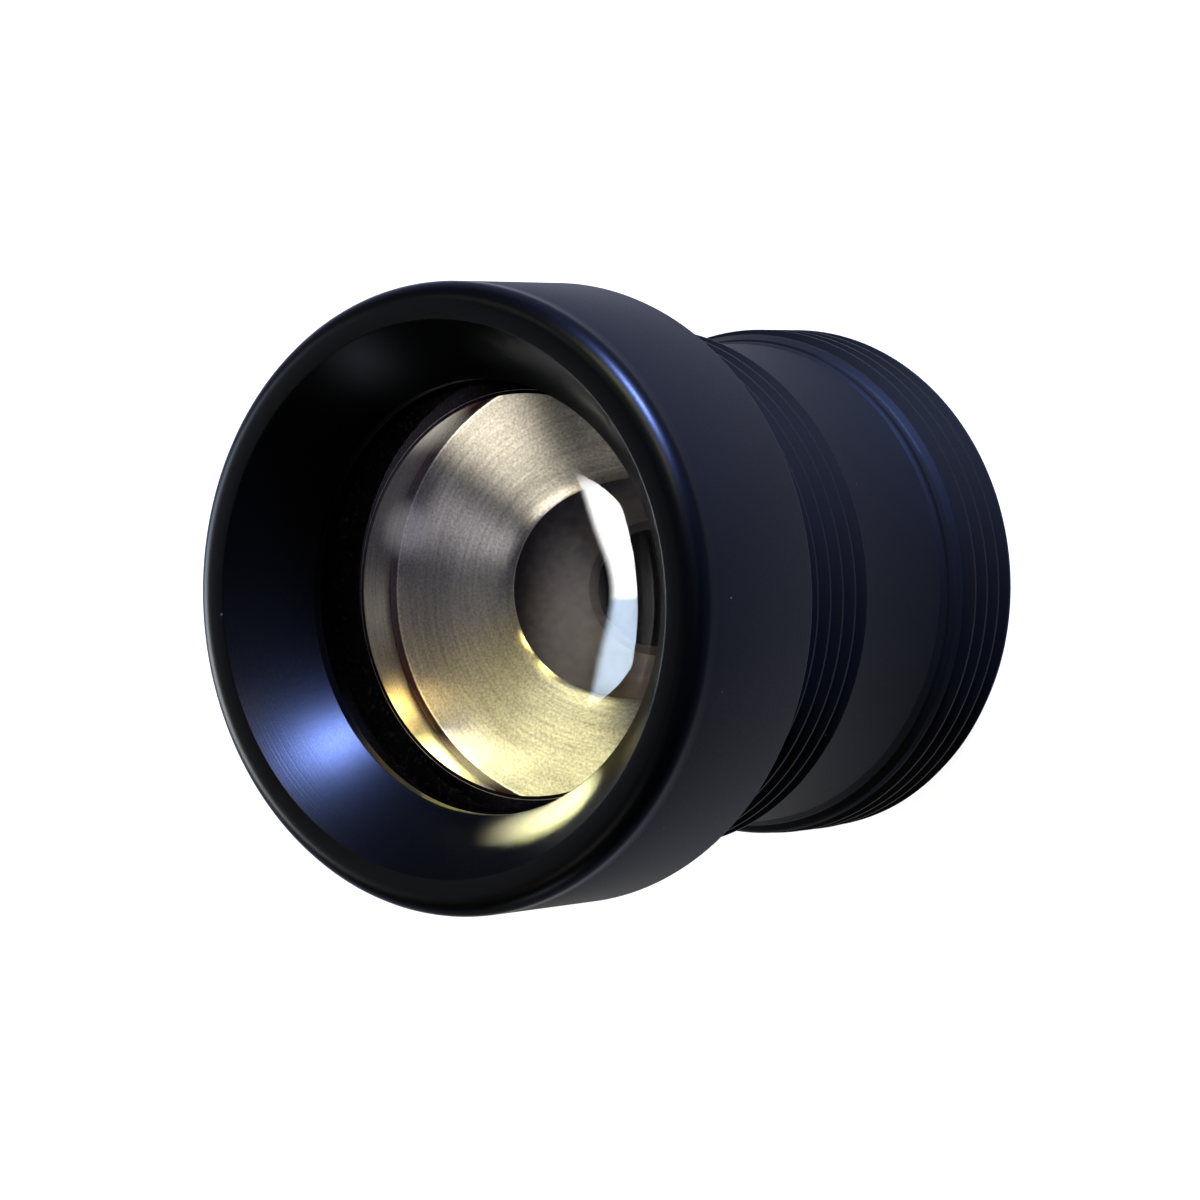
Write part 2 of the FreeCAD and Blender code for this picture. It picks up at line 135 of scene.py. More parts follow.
room = bpy.data.worlds.new("room")
room.use_nodes = True
room_light = room.node_tree.nodes["Background"]
room_light.inputs["Color"].default_value = ROOM_COLOUR
room_light.inputs["Strength"].default_value = ROOM_LEVEL
bpy.context.scene.world = room

floor_mesh = bpy.data.meshes.new("floor")
floor_corners = [
    (x * FLOOR_REACH * MM, y * FLOOR_REACH * MM, 0) for x, y in ((-1, -1), (1, -1), (1, 1), (-1, 1))
]
floor_mesh.from_pydata(floor_corners, [], [(0, 1, 2, 3)])
floor = bpy.data.objects.new("floor", floor_mesh)
bpy.context.scene.collection.objects.link(floor)

floor_paint, tree, paint = new_material(
    "pale_table",
    Base_Color=FLOOR_COLOUR,
    Roughness=FLOOR_ROUGHNESS,
    Specular_IOR_Level=0.0,
    Emission_Color=GLOW_COLOUR,
)
rays = add(tree, "ShaderNodeLightPath").outputs
seen = math_node(tree, "MAXIMUM", rays["Is Camera Ray"], rays["Is Glossy Ray"])
seen = math_node(tree, "MAXIMUM", seen, rays["Is Transmission Ray"])
floor_place = add(tree, "ShaderNodeTexCoord")
patch = add(
    tree,
    "ShaderNodeMapping",
    {"vector_type": "TEXTURE"},
    Vector=floor_place.outputs["Object"],
    Location=(GLOW_CENTRE[0] * MM, GLOW_CENTRE[1] * MM, 0),
    Scale=(GLOW_REACH[0] * MM, GLOW_REACH[1] * MM, 1),
)
off_middle = add(tree, "ShaderNodeVectorMath", {"operation": "ABSOLUTE"}, i0=patch.outputs[0])
off_parts = add(tree, "ShaderNodeSeparateXYZ", Vector=off_middle.outputs[0])
from_middle = math_node(tree, "MAXIMUM", off_parts.outputs["X"], off_parts.outputs["Y"])
fade = add(
    tree,
    "ShaderNodeMapRange",
    {"interpolation_type": "SMOOTHSTEP"},
    Value=from_middle,
    From_Min=1.0,
    From_Max=1.0 - GLOW_FADE,
    To_Max=GLOW_LEVEL,
)
glow = math_node(tree, "MULTIPLY", seen, fade.outputs[0])
tree.links.new(glow, paint.inputs["Emission Strength"])
floor_mesh.materials.append(floor_paint)


# Lamps
# Soft boxes round the lens, brightest in their middle. Warm, high, rosy, soft, corner and veil
# light the turned plate, amber, gold and fill the ring round it, haze the hole in it, cool the
# lip, the dish and the edges of the walls, and low the top of the dish.
LAMP_DISTANCE = 260
LAMP_PEAK = 2.4
LAMP_EDGE = 0.55
LAMP_CORE = 0.10
LENS_MIDDLE = Vector((0, 0, 12)) * MM
LAMPS = [
    # name, direction from the lens, width and height of the box, colour, radiance
    ("warm", (0.52, 0.378, 0.766), (60, 200), (1.0, 0.97, 0.55), 2.5),
    ("high", (0.45, 0.07, 0.89), (110, 120), (1.0, 0.94, 0.54), 0.35),
    ("amber", (0.552, -0.497, 0.669), (60, 100), (1.0, 0.72, 0.22), 18.0),
    ("gold", (0.74, -0.198, 0.643), (60, 120), (1.0, 0.92, 0.30), 28.0),
    ("rosy", (-0.61, 0.155, 0.78), (80, 135), (1.0, 0.94, 0.79), 2.7),
    ("soft", (-0.24, 0.14, 0.96), (60, 70), (0.96, 0.92, 1.0), 1.0),
    ("corner", (-0.367, 0.544, 0.755), (60, 80), (1.0, 0.93, 0.80), 0.25),
    ("cool", (0.83, -0.47, 0.24), (90, 70), (0.30, 0.42, 1.0), 500.0),
    ("veil", (0.0, 0.40, 0.92), (180, 75), (1.0, 0.92, 0.82), 0.24),
    ("fill", (0.10, -0.80, 0.60), (160, 100), (0.88, 0.94, 0.96), 0.35),
    ("haze", (0.12, 0.74, 0.66), (200, 130), (0.98, 0.94, 0.98), 0.42),
    ("low", (-0.95, 0.20, 0.14), (90, 60), (0.80, 0.90, 1.0), 4.0),
]
for name, direction, (width, height), colour, radiance in LAMPS:
    lamp_data = bpy.data.lights.new("lamp_" + name, "AREA")
    lamp_data.shape = "RECTANGLE"
    lamp_data.size = width * MM
    lamp_data.size_y = height * MM
    lamp_data.color = colour
    lamp_data.energy = radiance * math.pi * lamp_data.size * lamp_data.size_y
    lamp_data.use_nodes = True
    tree = lamp_data.node_tree
    on_box = add(tree, "ShaderNodeNewGeometry")
    off_middle = add(
        tree,
        "ShaderNodeVectorMath",
        {"operation": "DISTANCE"},
        i0=on_box.outputs["Parametric"],
        i1=(0.5, 0.5, 0.0),
    )
    soft_edge = add(
        tree,
        "ShaderNodeMapRange",
        {"interpolation_type": "SMOOTHSTEP"},
        Value=off_middle.outputs["Value"],
        From_Min=LAMP_EDGE,
        From_Max=LAMP_CORE,
        To_Max=LAMP_PEAK,
    )
    tree.links.new(soft_edge.outputs[0], tree.nodes["Emission"].inputs["Strength"])
    lamp = bpy.data.objects.new("lamp_" + name, lamp_data)
    away = Vector(direction).normalized()
    side = (Vector((1, 0, 0)) - away * away.x).normalized()
    lamp.matrix_world = facing(
        LENS_MIDDLE + away * LAMP_DISTANCE * MM, side, away.cross(side), away
    )
    bpy.context.scene.collection.objects.link(lamp)

# A narrow beam lays a warm glint on the dish, below the glass
GLINT_PLACE = Vector((-4.69, -2.18, 13.25)) * MM
GLINT_DIRECTION = Vector((0.42, 0.87, 0.25)).normalized()
GLINT_ALONG = Vector((0.857, -0.476, 0.194))
GLINT_DISTANCE = 40
GLINT_LENGTH = 2.2
GLINT_WIDTH = 0.9
GLINT_COLOUR = (1.0, 0.95, 0.50)
GLINT_ENERGY = 0.0036
GLINT_SPREAD = 1.5
glint_data = bpy.data.lights.new("lamp_glint", "AREA")
glint_data.shape = "ELLIPSE"
glint_data.size = GLINT_LENGTH * MM
glint_data.size_y = GLINT_WIDTH * MM
glint_data.color = GLINT_COLOUR
glint_data.energy = GLINT_ENERGY
glint_data.spread = math.radians(GLINT_SPREAD)
glint = bpy.data.objects.new("lamp_glint", glint_data)
glint_side = (GLINT_ALONG - GLINT_DIRECTION * GLINT_ALONG.dot(GLINT_DIRECTION)).normalized()
glint.matrix_world = facing(
    GLINT_PLACE + GLINT_DIRECTION * GLINT_DISTANCE * MM,
    glint_side,
    GLINT_DIRECTION.cross(glint_side),
    GLINT_DIRECTION,
)
bpy.context.scene.collection.objects.link(glint)

# A bowed window stands low behind the lens, white on one side and pale blue on the other. The
# rear face of the front glass mirrors it as a crescent, soft where its upper edge fades.
WINDOW_AWAY = 260
WINDOW_MIDDLE = -15
WINDOW_HALF_WIDTH = 124
WINDOW_COLUMNS = 48
WINDOW_ROWS = 24
WINDOW_TOP = 156
WINDOW_TOP_RISE = 30
WINDOW_BOW = 45
WINDOW_FOOT = 4
WINDOW_FOOT_SLOPE = 2.1
WINDOW_FOOT_HALF_WIDTH = 38
WINDOW_SEAM = -4
WINDOW_SEAM_BLUR = 2
WINDOW_FADE = 28
WINDOW_END_FADE = 40
WINDOW_WHITE = (1.0, 1.0, 1.0, 1)
WINDOW_PALE = (0.43, 0.53, 0.66, 1)
WINDOW_LEVEL = 18.0


def mix_colour(tree, share, first, second):
    """Output of a new Mix node: a colour between two, by a share that is a value or a socket."""
    mix = add(tree, "ShaderNodeMix", {"data_type": "RGBA"}, i0=share, i6=first, i7=second)
    return mix.outputs[2]


window_points = []
window_shares = []
for column in range(WINDOW_COLUMNS + 1):
    aside = WINDOW_HALF_WIDTH * (2 * column / WINDOW_COLUMNS - 1)
    top = WINDOW_TOP + WINDOW_TOP_RISE * (1 - math.exp(-((aside / WINDOW_BOW) ** 2)))
    foot = WINDOW_FOOT + WINDOW_FOOT_SLOPE * max(abs(aside) - WINDOW_FOOT_HALF_WIDTH, 0)
    for row in range(WINDOW_ROWS + 1):
        height = foot + (top - foot) * row / WINDOW_ROWS
        window_points.append(Vector((WINDOW_MIDDLE + aside, WINDOW_AWAY, height)) * MM)
        from_end = (WINDOW_HALF_WIDTH - abs(aside)) / WINDOW_END_FADE
        window_shares.append(min((top - height) / WINDOW_FADE, from_end, 1))
window_faces = [
    (a, a + 1, a + WINDOW_ROWS + 2, a + WINDOW_ROWS + 1)
    for column in range(WINDOW_COLUMNS)
    for a in range(column * (WINDOW_ROWS + 1), column * (WINDOW_ROWS + 1) + WINDOW_ROWS)
]
window_mesh = bpy.data.meshes.new("window")
window_mesh.from_pydata(window_points, [], window_faces)
share_of_point = window_mesh.attributes.new("share", "FLOAT", "POINT")
share_of_point.data.foreach_set("value", window_shares)
window = bpy.data.objects.new("window", window_mesh)
window_glow, tree, pane = new_material(
    "window_glow", Base_Color=(0, 0, 0, 1), Specular_IOR_Level=0.0
)
share_given = add(tree, "ShaderNodeAttribute", {"attribute_name": "share"})
dim = add(
    tree,
    "ShaderNodeMapRange",
    {"interpolation_type": "SMOOTHSTEP"},
    Value=share_given.outputs["Fac"],
    To_Max=WINDOW_LEVEL,
)
tree.links.new(dim.outputs[0], pane.inputs["Emission Strength"])
window_place = add(tree, "ShaderNodeTexCoord")
window_parts = add(tree, "ShaderNodeSeparateXYZ", Vector=window_place.outputs["Object"])
seam = add(
    tree,
    "ShaderNodeMapRange",
    Value=window_parts.outputs["X"],
    From_Min=(WINDOW_SEAM - WINDOW_SEAM_BLUR) * MM,
    From_Max=(WINDOW_SEAM + WINDOW_SEAM_BLUR) * MM,
)
halves = mix_colour(tree, seam.outputs[0], WINDOW_WHITE, WINDOW_PALE)
tree.links.new(halves, pane.inputs["Emission Color"])
window_mesh.materials.append(window_glow)
bpy.context.scene.collection.objects.link(window)
window.visible_camera = False


# Barrel
# One turned tube of black anodised aluminium, with an M12 x 0.5 thread cut in two stretches and a
# plain neck between them. Its stepped bore takes the glass from both ends.
COLUMNS = 192
SHARP_ANGLE = math.radians(28)


def rounded(outline, at):
    """Outline with the named corners broken by a small arc, as a tool's nose leaves them."""
    made = []
    count = len(outline)
    for index, (radius, height) in enumerate(outline):
        if index not in at:
            made.append((radius, height))
            continue
        size, steps = at[index]
        corner = Vector((radius, height))
        before = Vector(outline[index - 1]) - corner
        after = Vector(outline[(index + 1) % count]) - corner
        half_angle = before.angle(after) / 2
        reach = size / math.tan(half_angle)
        start = corner + before.normalized() * reach
        end = corner + after.normalized() * reach
        middle = (before.normalized() + after.normalized()).normalized()
        centre = corner + middle * (size / math.sin(half_angle))
        for step in range(steps + 1):
            share = step / steps
            spoke = (start - centre).lerp(end - centre, share).normalized()
            place = centre + spoke * size
            made.append((place.x, place.y))
    return made


def turned(name, outline, finishes, closed=True, span_finish=None):
    """Smooth mesh turned about Z from an outline of (radius, height) points in millimetres.

    A point at radius 0 becomes a single pole. span_finish gives the material of each span.
    """
    mesh = bpy.data.meshes.new(name)
    work = bmesh.new()
    rings = []
    for radius, height in outline:
        if radius < 1e-9:
            rings.append([work.verts.new((0, 0, height * MM))])
            continue
        ring = []
        for column in range(COLUMNS):
            angle = 2 * math.pi * column / COLUMNS
            ring.append(
                work.verts.new(
                    (radius * MM * math.cos(angle), radius * MM * math.sin(angle), height * MM)
                )
            )
        rings.append(ring)
    spans = len(rings) if closed else len(rings) - 1
    for span in range(spans):
        low = rings[span]
        high = rings[(span + 1) % len(rings)]
        if len(low) == 1 and len(high) == 1:
            continue
        for column in range(COLUMNS):
            following = (column + 1) % COLUMNS
            if len(low) == 1:
                corners = (low[0], high[following], high[column])
            elif len(high) == 1:
                corners = (low[column], low[following], high[0])
            else:
                corners = (low[column], low[following], high[following], high[column])
            face = work.faces.new(corners)
            face.smooth = True
            if span_finish:
                face.material_index = span_finish[span]
    work.normal_update()
    if closed:
        bmesh.ops.recalc_face_normals(work, faces=work.faces)
    for edge in work.edges:
        if len(edge.link_faces) == 2 and edge.calc_face_angle() > SHARP_ANGLE:
            edge.smooth = False
    work.to_mesh(mesh)
    work.free()
    for finish in finishes:
        mesh.materials.append(finish)
    piece = bpy.data.objects.new(name, mesh)
    bpy.context.scene.collection.objects.link(piece)
    return piece


def shader_group(name, inputs, outputs):
    """Empty shader node group with named inputs and outputs."""
    group = bpy.data.node_groups.new(name, "ShaderNodeTree")
    for label, kind, value in inputs:
        socket = group.interface.new_socket(label, in_out="INPUT", socket_type=kind)
        if value is not None:
            socket.default_value = value
    for label, kind in outputs:
        group.interface.new_socket(label, in_out="OUTPUT", socket_type=kind)
    return group


def round_place(tree):
    """Object coordinates, the part of them across the axis, the radius and the height."""
    place = add(tree, "ShaderNodeTexCoord").outputs["Object"]
    parts = add(tree, "ShaderNodeSeparateXYZ", Vector=place).outputs
    across = add(tree, "ShaderNodeCombineXYZ", X=parts["X"], Y=parts["Y"]).outputs[0]
    radius = add(tree, "ShaderNodeVectorMath", {"operation": "LENGTH"}, i0=across)
    return place, across, radius.outputs["Value"], parts["Z"]


# Tool marks: fine rings left by the turning tool, along the height of a wall and across a face
tool_marks = shader_group(
    "Tool marks",
    [
        ("Rings per mm", "NodeSocketFloat", 14.0),
        ("Unevenness", "NodeSocketFloat", 0.5),
    ],
    [("Height", "NodeSocketFloat")],
)
SLOW_RINGS = 0.13
group_in = add(tool_marks, "NodeGroupInput")
group_out = add(tool_marks, "NodeGroupOutput")
place, across, radius, height = round_place(tool_marks)
along = math_node(tool_marks, "ADD", radius, height)
per_metre = math_node(tool_marks, "MULTIPLY", group_in.outputs["Rings per mm"], 1 / MM)
turns = math_node(tool_marks, "MULTIPLY", along, per_metre)
slow_turns = math_node(tool_marks, "MULTIPLY", turns, SLOW_RINGS)
one_way = {"noise_dimensions": "1D"}
fine = add(tool_marks, "ShaderNodeTexNoise", one_way, W=turns, Scale=1.0, Detail=3.0)
slow = add(tool_marks, "ShaderNodeTexNoise", one_way, W=slow_turns, Scale=1.0, Detail=2.0)
uneven = math_node(tool_marks, "MULTIPLY", slow.outputs[0], group_in.outputs["Unevenness"])
marks_height = math_node(tool_marks, "ADD", fine.outputs[0], uneven)
tool_marks.links.new(marks_height, group_out.inputs["Height"])

# Dust: sparse pale specks of lint and grit
dust = shader_group(
    "Dust",
    [
        ("Specks per mm", "NodeSocketFloat", 3.0),
        ("Size", "NodeSocketFloat", 0.10),
        ("Share", "NodeSocketFloat", 0.02),
    ],
    [("Mask", "NodeSocketFloat")],
)
group_in = add(dust, "NodeGroupInput")
group_out = add(dust, "NodeGroupOutput")
place = add(dust, "ShaderNodeTexCoord")
density = math_node(dust, "MULTIPLY", group_in.outputs["Specks per mm"], 1 / MM)
cells = add(
    dust, "ShaderNodeTexVoronoi", {"feature": "F1"}, Vector=place.outputs["Object"], Scale=density
)
near = math_node(dust, "LESS_THAN", cells.outputs["Distance"], group_in.outputs["Size"])
pick = add(dust, "ShaderNodeSeparateColor", Color=cells.outputs["Color"])
chosen = math_node(dust, "LESS_THAN", pick.outputs[0], group_in.outputs["Share"])
dust.links.new(math_node(dust, "MULTIPLY", near, chosen), group_out.inputs["Mask"])

# Black anodised aluminium: walls were turned coarser than the dish and the lip
BLACK = (0.0003, 0.0003, 0.0003, 1)
BLACK_WORN = (0.0010, 0.0009, 0.0008, 1)
BLACK_SHEEN = (0.80, 0.87, 1.0, 1)
BLACK_GLOSS = 0.06
WEAR = 0.35
DUST_COLOUR = (0.02, 0.02, 0.02, 1)
SATIN_FINEST = 0.24
SATIN_COARSEST = 0.38
WALL_COARSER = 0.26
WALL_RADIUS = 6.9
LIP_FOOT = 13.7
LIP_START = 14.1
DISH_FLOOR = 12.5
black_anodised, tree, satin = new_material(
    "black_anodised", Specular_IOR_Level=BLACK_GLOSS, Specular_Tint=BLACK_SHEEN
)
marks = add(tree, "ShaderNodeGroup", {"node_tree": tool_marks}, Rings_per_mm=16.0)
specks = add(tree, "ShaderNodeGroup", {"node_tree": dust})
place, across, radius, height = round_place(tree)
cloud = add(tree, "ShaderNodeTexNoise", Vector=place, Scale=420.0, Detail=4.0)
pores = add(tree, "ShaderNodeTexNoise", Vector=place, Scale=26000.0, Detail=2.0)
worn = math_node(tree, "MULTIPLY", cloud.outputs[0], WEAR)
shade = mix_colour(tree, worn, BLACK, BLACK_WORN)
dusted = mix_colour(tree, specks.outputs["Mask"], shade, DUST_COLOUR)
tree.links.new(dusted, satin.inputs["Base Color"])
rough = add(
    tree,
    "ShaderNodeMapRange",
    Value=pores.outputs[0],
    To_Min=SATIN_FINEST,
    To_Max=SATIN_COARSEST,
)
outside = math_node(tree, "GREATER_THAN", radius, WALL_RADIUS * MM)
below_lip = add(
    tree, "ShaderNodeMapRange", Value=height, From_Min=LIP_START * MM, From_Max=LIP_FOOT * MM
)
hood_wall = math_node(tree, "MULTIPLY", outside, below_lip.outputs[0])
below_dish = math_node(tree, "LESS_THAN", height, DISH_FLOOR * MM)
wall = math_node(tree, "MAXIMUM", hood_wall, below_dish)
coarse = math_node(tree, "MULTIPLY_ADD", wall, WALL_COARSER, rough.outputs[0])
tree.links.new(coarse, satin.inputs["Roughness"])
relief = math_node(tree, "MULTIPLY_ADD", pores.outputs[0], 0.8, marks.outputs["Height"])
bump = add(tree, "ShaderNodeBump", Strength=0.35, Distance=0.004 * MM, Height=relief)
tree.links.new(bump.outputs[0], satin.inputs["Normal"])

# Screw thread: Geometry Nodes skin that follows the helix row by row
THREAD_ROWS = 16


def build_thread_tree():
    """Skin of one stretch of screw thread, with a drop at each end where the crests run out."""
    tree = bpy.data.node_groups.new("Screw thread", "GeometryNodeTree")
    tree.interface.new_socket("Geometry", in_out="INPUT", socket_type="NodeSocketGeometry")
    sizes = [
        ("Crest Radius", 6.0 * MM),
        ("Depth", 0.29 * MM),
        ("Pitch", 0.5 * MM),
        ("Foot Height", 0.0),
        ("Foot Drop", 0.35 * MM),
        ("Foot Run", 0.35 * MM),
        ("Top Height", 2.9 * MM),
        ("Top Drop", 0.35 * MM),
        ("Top Run", 0.7 * MM),
    ]
    for label, value in sizes:
        socket = tree.interface.new_socket(label, in_out="INPUT", socket_type="NodeSocketFloat")
        socket.default_value = value
    socket = tree.interface.new_socket("Columns", in_out="INPUT", socket_type="NodeSocketInt")
    socket.default_value = COLUMNS
    socket = tree.interface.new_socket("Finish", in_out="INPUT", socket_type="NodeSocketMaterial")
    tree.interface.new_socket("Geometry", in_out="OUTPUT", socket_type="NodeSocketGeometry")
    given = add(tree, "NodeGroupInput").outputs
    result = add(tree, "NodeGroupOutput")

    length = math_node(tree, "SUBTRACT", given["Top Height"], given["Foot Height"])
    turns = math_node(tree, "DIVIDE", length, given["Pitch"])
    turns = math_node(tree, "ADD", math_node(tree, "CEIL", turns), 2.0)
    rows = math_node(tree, "MULTIPLY_ADD", turns, float(THREAD_ROWS), 1.0)
    around = math_node(tree, "ADD", given["Columns"], 1.0)
    grid = add(tree, "GeometryNodeMeshGrid", Size_X=1.0, Size_Y=1.0)
    tree.links.new(around, grid.inputs["Vertices X"])
    tree.links.new(rows, grid.inputs["Vertices Y"])

    index = add(tree, "GeometryNodeInputIndex").outputs[0]
    column = math_node(tree, "DIVIDE", math_node(tree, "ADD", index, 0.5), rows)
    column = math_node(tree, "FLOOR", column)
    row = math_node(tree, "SUBTRACT", index, math_node(tree, "MULTIPLY", column, rows))
    share = math_node(tree, "DIVIDE", column, given["Columns"])
    angle = math_node(tree, "MULTIPLY", share, 2 * math.pi)
    turn = math_node(tree, "DIVIDE", row, float(THREAD_ROWS))
    climb = math_node(tree, "SUBTRACT", math_node(tree, "ADD", turn, share), 1.0)
    height = math_node(tree, "MULTIPLY_ADD", climb, given["Pitch"], given["Foot Height"])
    height = math_node(tree, "MAXIMUM", height, given["Foot Height"])
    height = math_node(tree, "MINIMUM", height, given["Top Height"])

    # Groove: flat crest one eighth of the pitch wide, flat root one quarter, straight flanks
    root_middle = 9 / 16
    crest_start = 7 / 16
    flank_width = 5 / 16
    phase = math_node(tree, "FRACT", turn)
    from_root = math_node(tree, "ABSOLUTE", math_node(tree, "SUBTRACT", phase, root_middle))
    from_root = math_node(tree, "MINIMUM", from_root, math_node(tree, "SUBTRACT", 1.0, from_root))
    cut = math_node(tree, "SUBTRACT", crest_start, from_root)
    cut = math_node(tree, "DIVIDE", cut, flank_width, clamp=True)
    groove = math_node(tree, "MULTIPLY", cut, given["Depth"])

    above_foot = math_node(tree, "SUBTRACT", height, given["Foot Height"])
    foot_share = math_node(tree, "DIVIDE", above_foot, given["Foot Run"])
    foot_share = math_node(tree, "SUBTRACT", 1.0, foot_share, clamp=True)
    below_top = math_node(tree, "SUBTRACT", given["Top Height"], height)
    top_share = math_node(tree, "DIVIDE", below_top, given["Top Run"])
    top_share = math_node(tree, "SUBTRACT", 1.0, top_share, clamp=True)
    foot_drop = math_node(tree, "MULTIPLY", foot_share, given["Foot Drop"])
    top_drop = math_node(tree, "MULTIPLY", top_share, given["Top Drop"])
    drop = math_node(tree, "MAXIMUM", math_node(tree, "MAXIMUM", foot_drop, top_drop), groove)
    radius = math_node(tree, "SUBTRACT", given["Crest Radius"], drop)

    east = math_node(tree, "MULTIPLY", radius, math_node(tree, "COSINE", angle))
    north = math_node(tree, "MULTIPLY", radius, math_node(tree, "SINE", angle))
    spot = add(tree, "ShaderNodeCombineXYZ", X=east, Y=north, Z=height)
    skin = add(
        tree, "GeometryNodeSetPosition", Geometry=grid.outputs["Mesh"], Position=spot.outputs[0]
    )
    joined = add(tree, "GeometryNodeJoinGeometry")
    tree.links.new(skin.outputs[0], joined.inputs[0])
    tree.links.new(given["Geometry"], joined.inputs[0])
    weld = 0.0004 * MM
    welded = add(
        tree, "GeometryNodeMergeByDistance", Geometry=joined.outputs[0], Distance=weld
    )
    solid = add(tree, "GeometryNodeRealizeInstances", Geometry=welded.outputs[0])
    finish = add(
        tree, "GeometryNodeSetMaterial", Geometry=solid.outputs[0], Material=given["Finish"]
    )
    tree.links.new(finish.outputs[0], result.inputs[0])
    return tree


def cut_thread(piece, finish, **sizes):
    """Adds a stretch of thread to an open turned piece and turns the result into a plain mesh."""
    modifier = piece.modifiers.new("thread", "NODES")
    modifier.node_group = screw_thread
    sockets = {
        item.name: item.identifier
        for item in screw_thread.interface.items_tree
        if item.item_type == "SOCKET" and item.in_out == "INPUT"
    }
    for label, value in sizes.items():
        modifier[sockets[label.replace("_", " ").title()]] = value
    modifier[sockets["Finish"]] = finish
    settled = piece.evaluated_get(bpy.context.evaluated_depsgraph_get())
    mesh = bpy.data.meshes.new_from_object(settled)
    piece.modifiers.remove(modifier)
    old = piece.data
    piece.data = mesh
    bpy.data.meshes.remove(old)
    mesh.name = piece.name


def finish_solid(piece):
    """Outward normals and crisp edges on a piece that is one closed shell."""
    work = bmesh.new()
    work.from_mesh(piece.data)
    bmesh.ops.dissolve_degenerate(work, edges=work.edges, dist=1e-8)
    bmesh.ops.recalc_face_normals(work, faces=work.faces)
    for face in work.faces:
        face.smooth = True
    for edge in work.edges:
        edge.smooth = True
        if len(edge.link_faces) == 2 and edge.calc_face_angle() > SHARP_ANGLE:
            edge.smooth = False
    loose = sum(1 for edge in work.edges if len(edge.link_faces) != 2)
    print(piece.name, "faces", len(work.faces), "edges not shared by two faces", loose)
    work.to_mesh(piece.data)
    work.free()


screw_thread = build_thread_tree()
BARREL_OUTLINE_LOW = [(5.65, 2.9), (5.65, 6.05)]
BARREL_OUTLINE_HIGH = [
    (5.69, 10.0),
    (5.75, 10.0),
    (5.75, 12.196),
    (5.55, 12.396),
    (5.22, 12.396),
    (5.12, 12.296),
    (5.12, 6.901),
    (3.0, 6.901),
    (3.0, 6.401),
    (4.52, 6.401),
    (4.52, 1.239),
    (4.72, 1.239),
    (4.72, 0.1),
    (4.82, 0.0),
    (5.65, 0.0),
]
neck = turned("neck", BARREL_OUTLINE_LOW, [black_anodised], closed=False)
barrel = turned("lens_barrel", BARREL_OUTLINE_HIGH, [black_anodised], closed=False)
bpy.ops.object.select_all(action="DESELECT")
for part in (neck, barrel):
    part.select_set(True)
bpy.context.view_layer.objects.active = barrel
bpy.ops.object.join()
cut_thread(
    barrel,
    black_anodised,
    foot_height=0.0,
    foot_drop=0.35 * MM,
    foot_run=0.35 * MM,
    top_height=2.9 * MM,
    top_drop=0.35 * MM,
    top_run=0.7 * MM,
)
cut_thread(
    barrel,
    black_anodised,
    foot_height=6.05 * MM,
    foot_drop=0.35 * MM,
    foot_run=0.25 * MM,
    top_height=10.0 * MM,
    top_drop=0.31 * MM,
    top_run=0.15 * MM,
)
finish_solid(barrel)
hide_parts("barrel")
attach(barrel, "root")


# Hood
# Turned from the same black aluminium as the barrel and screwed over its front end. Its wide
# satin dish keeps stray light out, and its inner face clamps the front element.
HOOD_OUTLINE = [
    (6.15, 14.5),
    (7.0, 14.5),
    (7.0, 10.1),
    (5.78, 10.1),
    (5.78, 12.596),
    (4.84, 12.596),
    (4.84, 12.84),
]
hood = turned(
    "lens_hood",
    rounded(HOOD_OUTLINE, {0: (0.05, 3), 1: (0.5, 10), 2: (0.12, 3), 3: (0.08, 2), 6: (0.03, 2)}),
    [black_anodised],
)
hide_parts("hood")
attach(hood, "root")


# Front element
# Thick glass lens with two polished and coated convex faces. Its cylindrical edge is ground and
# blackened with ink, so that stray light dies there.
GLASS_RINGS = 40


def cap(vertex, curve, edge_radius):
    """Points of a spherical face from the axis out to its edge; curve is positive if it falls."""
    points = []
    for ring in range(GLASS_RINGS + 1):
        radius = edge_radius * ring / GLASS_RINGS
        sag = abs(curve) - math.sqrt(curve * curve - radius * radius)
        points.append((radius, vertex - math.copysign(sag, curve)))
    return points


CLEAR = (1, 1, 1, 1)
COAT_TINT = (0.10, 0.07, 0.16, 1)
GLASS_INDEX = 1.6
INK = (0.0010, 0.0008, 0.0012, 1)
INK_WORN = (0.020, 0.014, 0.010, 1)


def optical_glass(name, tint):
    """Clear polished glass; a dark tint stands for a coat that keeps a face from mirroring."""
    material, tree, shader = new_material(
        name,
        Base_Color=CLEAR,
        Roughness=0.0,
        IOR=GLASS_INDEX,
        Transmission_Weight=1.0,
        Specular_Tint=tint,
    )
    return material


coated_glass = optical_glass("coated_glass", COAT_TINT)
plain_glass = optical_glass("plain_glass", CLEAR)

edge_ink, tree, ink = new_material("inked_ground_edge", Roughness=0.7, Specular_IOR_Level=0.0)
place = add(tree, "ShaderNodeTexCoord")
grit = add(tree, "ShaderNodeTexNoise", Vector=place.outputs["Object"], Scale=9000.0, Detail=3.0)
worn = add(tree, "ShaderNodeMapRange", Value=grit.outputs[0], From_Min=0.55, From_Max=0.8)
ink_colour = mix_colour(tree, worn.outputs[0], INK, INK_WORN)
tree.links.new(ink_colour, ink.inputs["Base Color"])


